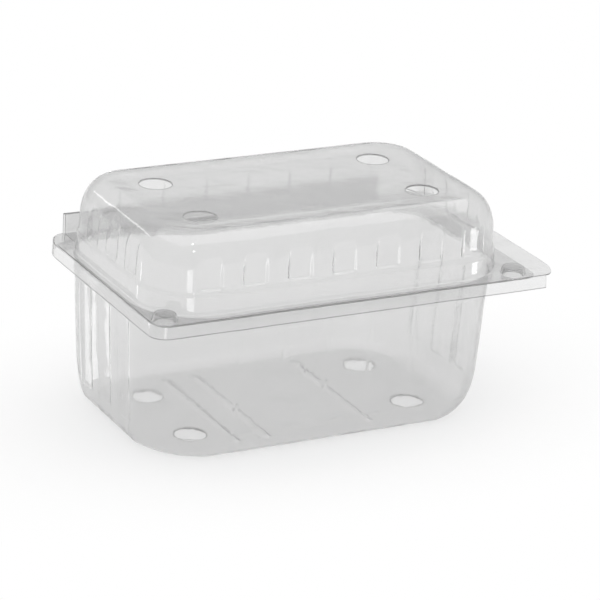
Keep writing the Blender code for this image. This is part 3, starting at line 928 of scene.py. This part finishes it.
def clear_sheet():
    """The clear polyester sheet."""
    return make_sheet("clear_sheet", 0.9, 0.04, 0.90)


def shaded_cut_edge():
    """The sheet where a knife has cut it: dull, and darker with painted shade that draws the cut edge as a
    dark line.
    """
    return make_sheet("shaded_cut_edge", 0.30, 0.30, 0.60)


def dress(shell, node):
    """Lets a shell stand for a solid of the frame."""
    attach(shell, node)
    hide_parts(node)
    start_clean()


# ---------------------------------------------------------------- stage


def seen_directly(tree):
    """A mask of the rays that look at a background: straight, in a reflection or through the sheet."""
    rays = tree.nodes.new("ShaderNodeLightPath")
    mask = rays.outputs["Is Camera Ray"]
    for kind in ("Is Glossy Ray", "Is Transmission Ray"):
        join = tree.nodes.new("ShaderNodeMath")
        join.operation = "MAXIMUM"
        tree.links.new(mask, join.inputs[0])
        tree.links.new(rays.outputs[kind], join.inputs[1])
        mask = join.outputs["Value"]
    return mask


def far_from_middle(tree):
    """A mask that grows with the distance from the middle, and reaches further along X."""
    place = tree.nodes.new("ShaderNodeTexCoord")
    narrow = tree.nodes.new("ShaderNodeVectorMath")
    narrow.operation = "MULTIPLY"
    narrow.inputs[1].default_value = (WHITE_STRETCH, 1, 1)
    distance = tree.nodes.new("ShaderNodeVectorMath")
    distance.operation = "LENGTH"
    tree.links.new(place.outputs["Object"], narrow.inputs[0])
    tree.links.new(narrow.outputs["Vector"], distance.inputs[0])
    grow = tree.nodes.new("ShaderNodeMapRange")
    grow.interpolation_type = "SMOOTHSTEP"
    grow.inputs["From Min"].default_value = WHITE_START
    grow.inputs["From Max"].default_value = WHITE_FULL
    grow.inputs["To Min"].default_value = WHITE_LEAST
    tree.links.new(distance.outputs["Value"], grow.inputs["Value"])
    return grow.outputs["Result"]


class PUNNET_OT_stage(bpy.types.Operator):
    """Lays the floor, hangs the lamps and sets up the camera"""

    bl_idname = "punnet.stage"
    bl_label = "Set the stage"

    def execute(self, context):
        stage = context.scene.punnet_stage
        self.lay_floor(stage)
        self.light_room(context.scene)
        self.set_camera(context.scene, stage)
        context.scene.view_settings.view_transform = "Standard"
        return {"FINISHED"}

    def lay_floor(self, stage):
        """Lays a pale floor that keeps the punnet's shadow and turns white away from it."""
        start_clean()
        bpy.ops.mesh.primitive_plane_add(size=8, location=(0, 0, -FLOOR_GAP))
        floor = bpy.context.object
        floor.name = "floor"
        material = bpy.data.materials.new("pale_floor")
        material.use_nodes = True
        tree = material.node_tree
        tree.nodes.remove(tree.nodes["Principled BSDF"])
        matt = tree.nodes.new("ShaderNodeBsdfDiffuse")
        matt.inputs["Color"].default_value = (*stage.floor_colour, 1)
        white = tree.nodes.new("ShaderNodeEmission")
        share = tree.nodes.new("ShaderNodeMath")
        share.operation = "MULTIPLY"
        tree.links.new(far_from_middle(tree), share.inputs[1])
        blend = tree.nodes.new("ShaderNodeMixShader")
        tree.links.new(seen_directly(tree), share.inputs[0])
        tree.links.new(share.outputs["Value"], blend.inputs["Fac"])
        tree.links.new(matt.outputs["BSDF"], blend.inputs[1])
        tree.links.new(white.outputs["Emission"], blend.inputs[2])
        tree.links.new(blend.outputs["Shader"], tree.nodes["Material Output"].inputs["Surface"])
        floor.data.materials.append(material)

    def light_room(self, scene):
        """Fills the room with even light and hangs the lamps."""
        world = bpy.data.worlds.new("room")
        world.use_nodes = True
        scene.world = world
        tree = world.node_tree
        room = tree.nodes["Background"]
        room.inputs["Color"].default_value = (1, 1, 1, 1)
        room.inputs["Strength"].default_value = ROOM_LIGHT
        for name, azimuth, rise, away, size, power in LAMPS:
            back = direction(math.radians(-azimuth), math.radians(rise))
            turn = (-back).to_track_quat("-Z", "Y").to_euler()
            add_lamp(name, Vector(LAMP_AIM) + back * away, turn, size, power)
        for name, (x, y), turn, size, power in GLOWS:
            face_up = Euler((math.pi, 0, math.radians(turn)))
            lamp = add_lamp(name, Vector((x, y, GLOW_HEIGHT)), face_up, size, power)
            lamp.visible_transmission = False

    def set_camera(self, scene, stage):
        """Sets up the camera that sees the punnet from its front left."""
        back = direction(stage.azimuth, stage.elevation)
        level = (-back).cross(Vector((0, 0, 1))).normalized()
        right = Matrix.Rotation(-stage.roll, 3, -back) @ level
        up = back.cross(right)
        target = Vector((0.0062, -0.0039, 0.0464))
        place = target + back * stage.distance
        lens = bpy.data.cameras.new("camera")
        lens.sensor_width = 36
        lens.lens = stage.focal
        lens.clip_start = 0.05
        lens.clip_end = 50
        camera = bpy.data.objects.new("camera", lens)
        scene.collection.objects.link(camera)
        turned = Matrix((right, up, back)).transposed().to_4x4()
        camera.matrix_world = Matrix.Translation(place) @ turned
        scene.camera = camera


def direction(azimuth, rise):
    """Unit vector at an angle from the front towards the right, and at an angle above level."""
    flat = math.cos(rise)
    return Vector((math.sin(azimuth) * flat, -math.cos(azimuth) * flat, math.sin(rise)))


def add_lamp(name, place, turn, size, power):
    """Adds a rectangular soft lamp that the camera doesn't see itself."""
    lamp = bpy.data.lights.new(name, "AREA")
    lamp.shape = "RECTANGLE"
    lamp.size, lamp.size_y = size
    lamp.energy = power
    holder = bpy.data.objects.new(name, lamp)
    bpy.context.scene.collection.objects.link(holder)
    holder.location = place
    holder.rotation_euler = turn
    holder.visible_camera = False
    return holder


class PUNNET_PT_panel(bpy.types.Panel):
    """Lists the steps that build the punnet"""

    bl_idname = "PUNNET_PT_panel"
    bl_label = "Clear Hinged Punnet"
    bl_space_type = "VIEW_3D"
    bl_region_type = "UI"
    bl_category = "Punnet"

    def draw(self, context):
        for group in PROPERTY_GROUPS:
            settings = getattr(context.scene, group)
            box = self.layout.box()
            for key in settings.__annotations__:
                box.prop(settings, key)
        for step in STEPS:
            self.layout.operator(step.bl_idname)


PROPERTY_GROUPS = {
    "punnet_sheet": PunnetSheet,
    "punnet_walls": PunnetWalls,
    "punnet_lid": PunnetLid,
    "punnet_tray": PunnetTray,
    "punnet_stage": PunnetStage,
}
STEPS = (PUNNET_OT_tray, PUNNET_OT_lid, PUNNET_OT_fold, PUNNET_OT_stage)


def register():
    for name, group in PROPERTY_GROUPS.items():
        bpy.utils.register_class(group)
        setattr(bpy.types.Scene, name, bpy.props.PointerProperty(type=group))
    for step in (*STEPS, PUNNET_PT_panel):
        bpy.utils.register_class(step)


def unregister():
    for step in (PUNNET_PT_panel, *reversed(STEPS)):
        bpy.utils.unregister_class(step)
    for name, group in reversed(PROPERTY_GROUPS.items()):
        delattr(bpy.types.Scene, name)
        bpy.utils.unregister_class(group)


def main():
    register()
    bpy.ops.punnet.tray()
    bpy.ops.punnet.lid()
    bpy.ops.punnet.fold()
    bpy.ops.punnet.stage()


if __name__ == "__main__":
    main()
